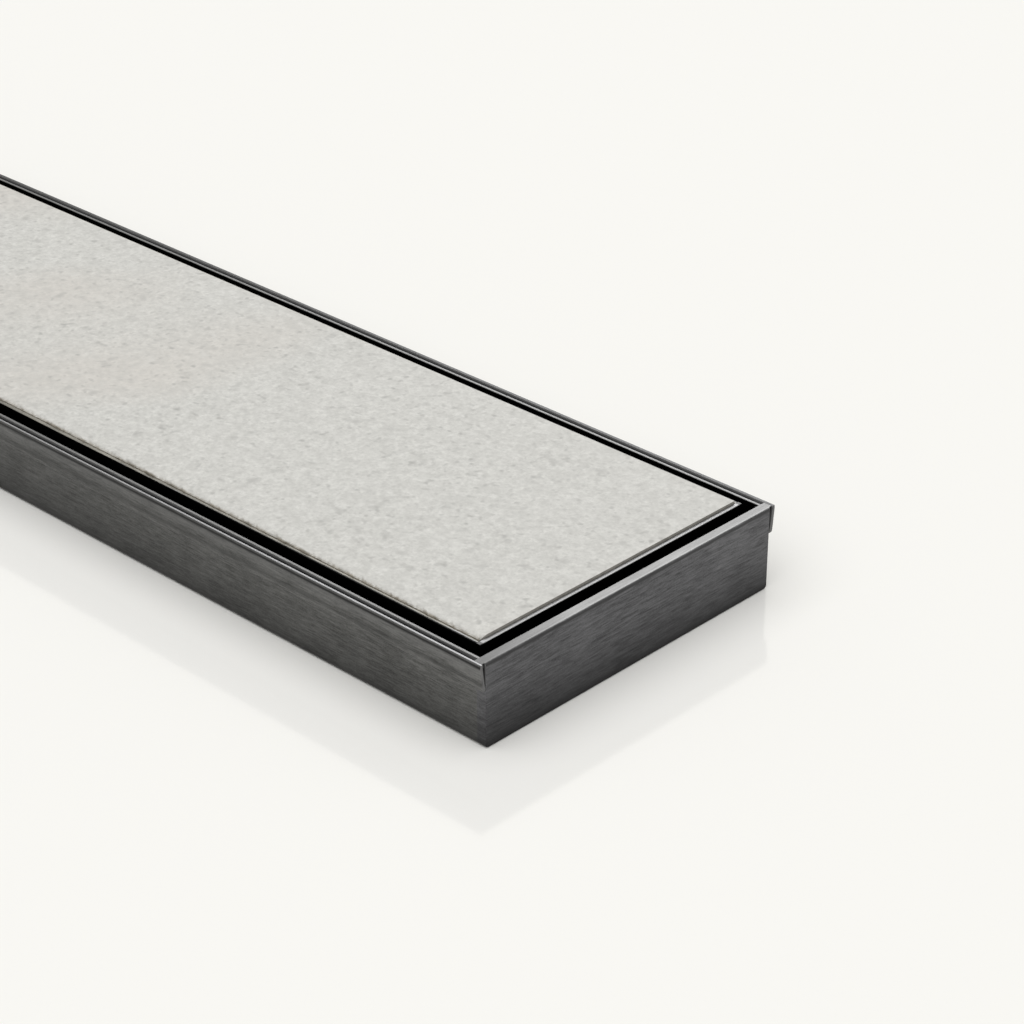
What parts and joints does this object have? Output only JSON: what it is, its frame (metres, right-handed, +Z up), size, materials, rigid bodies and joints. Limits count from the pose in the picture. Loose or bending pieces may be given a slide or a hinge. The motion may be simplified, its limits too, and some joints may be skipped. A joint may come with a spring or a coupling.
{
  "type": "linear shower drain",
  "caption": "Linear shower drain: a shallow metal channel with bonding lips and a centre outlet, holding a tray with a stoneware tile above a drainage slot.",
  "frame": {"origin": "middle of the base, on the surface the drain lies on", "axes": "+X along the drain, +Y across it, +Z up"},
  "size_m": [0.6, 0.1, 0.0233],
  "materials": {
    "gunmetal": "brushed, dark gunmetal",
    "tray_metal": "satin",
    "stoneware": "matt, speckled",
    "adhesive": "rough",
    "riser_plastic": "moulded",
    "strainer_steel": "satin"
  },
  "bodies": {
    "root": {"channel_body": "gunmetal", "end_plate_left": "gunmetal", "end_plate_right": "gunmetal", "tile_tray": "tray_metal", "tray_end_left": "tray_metal", "tray_end_right": "tray_metal", "adhesive_bed": "adhesive", "tile": "stoneware", "hair_strainer": "strainer_steel", "riser_1": "riser_plastic", "riser_2": "riser_plastic", "riser_3": "riser_plastic", "riser_4": "riser_plastic", "riser_5": "riser_plastic", "riser_6": "riser_plastic", "riser_7": "riser_plastic", "riser_8": "riser_plastic"}
  },
  "joints": []
}
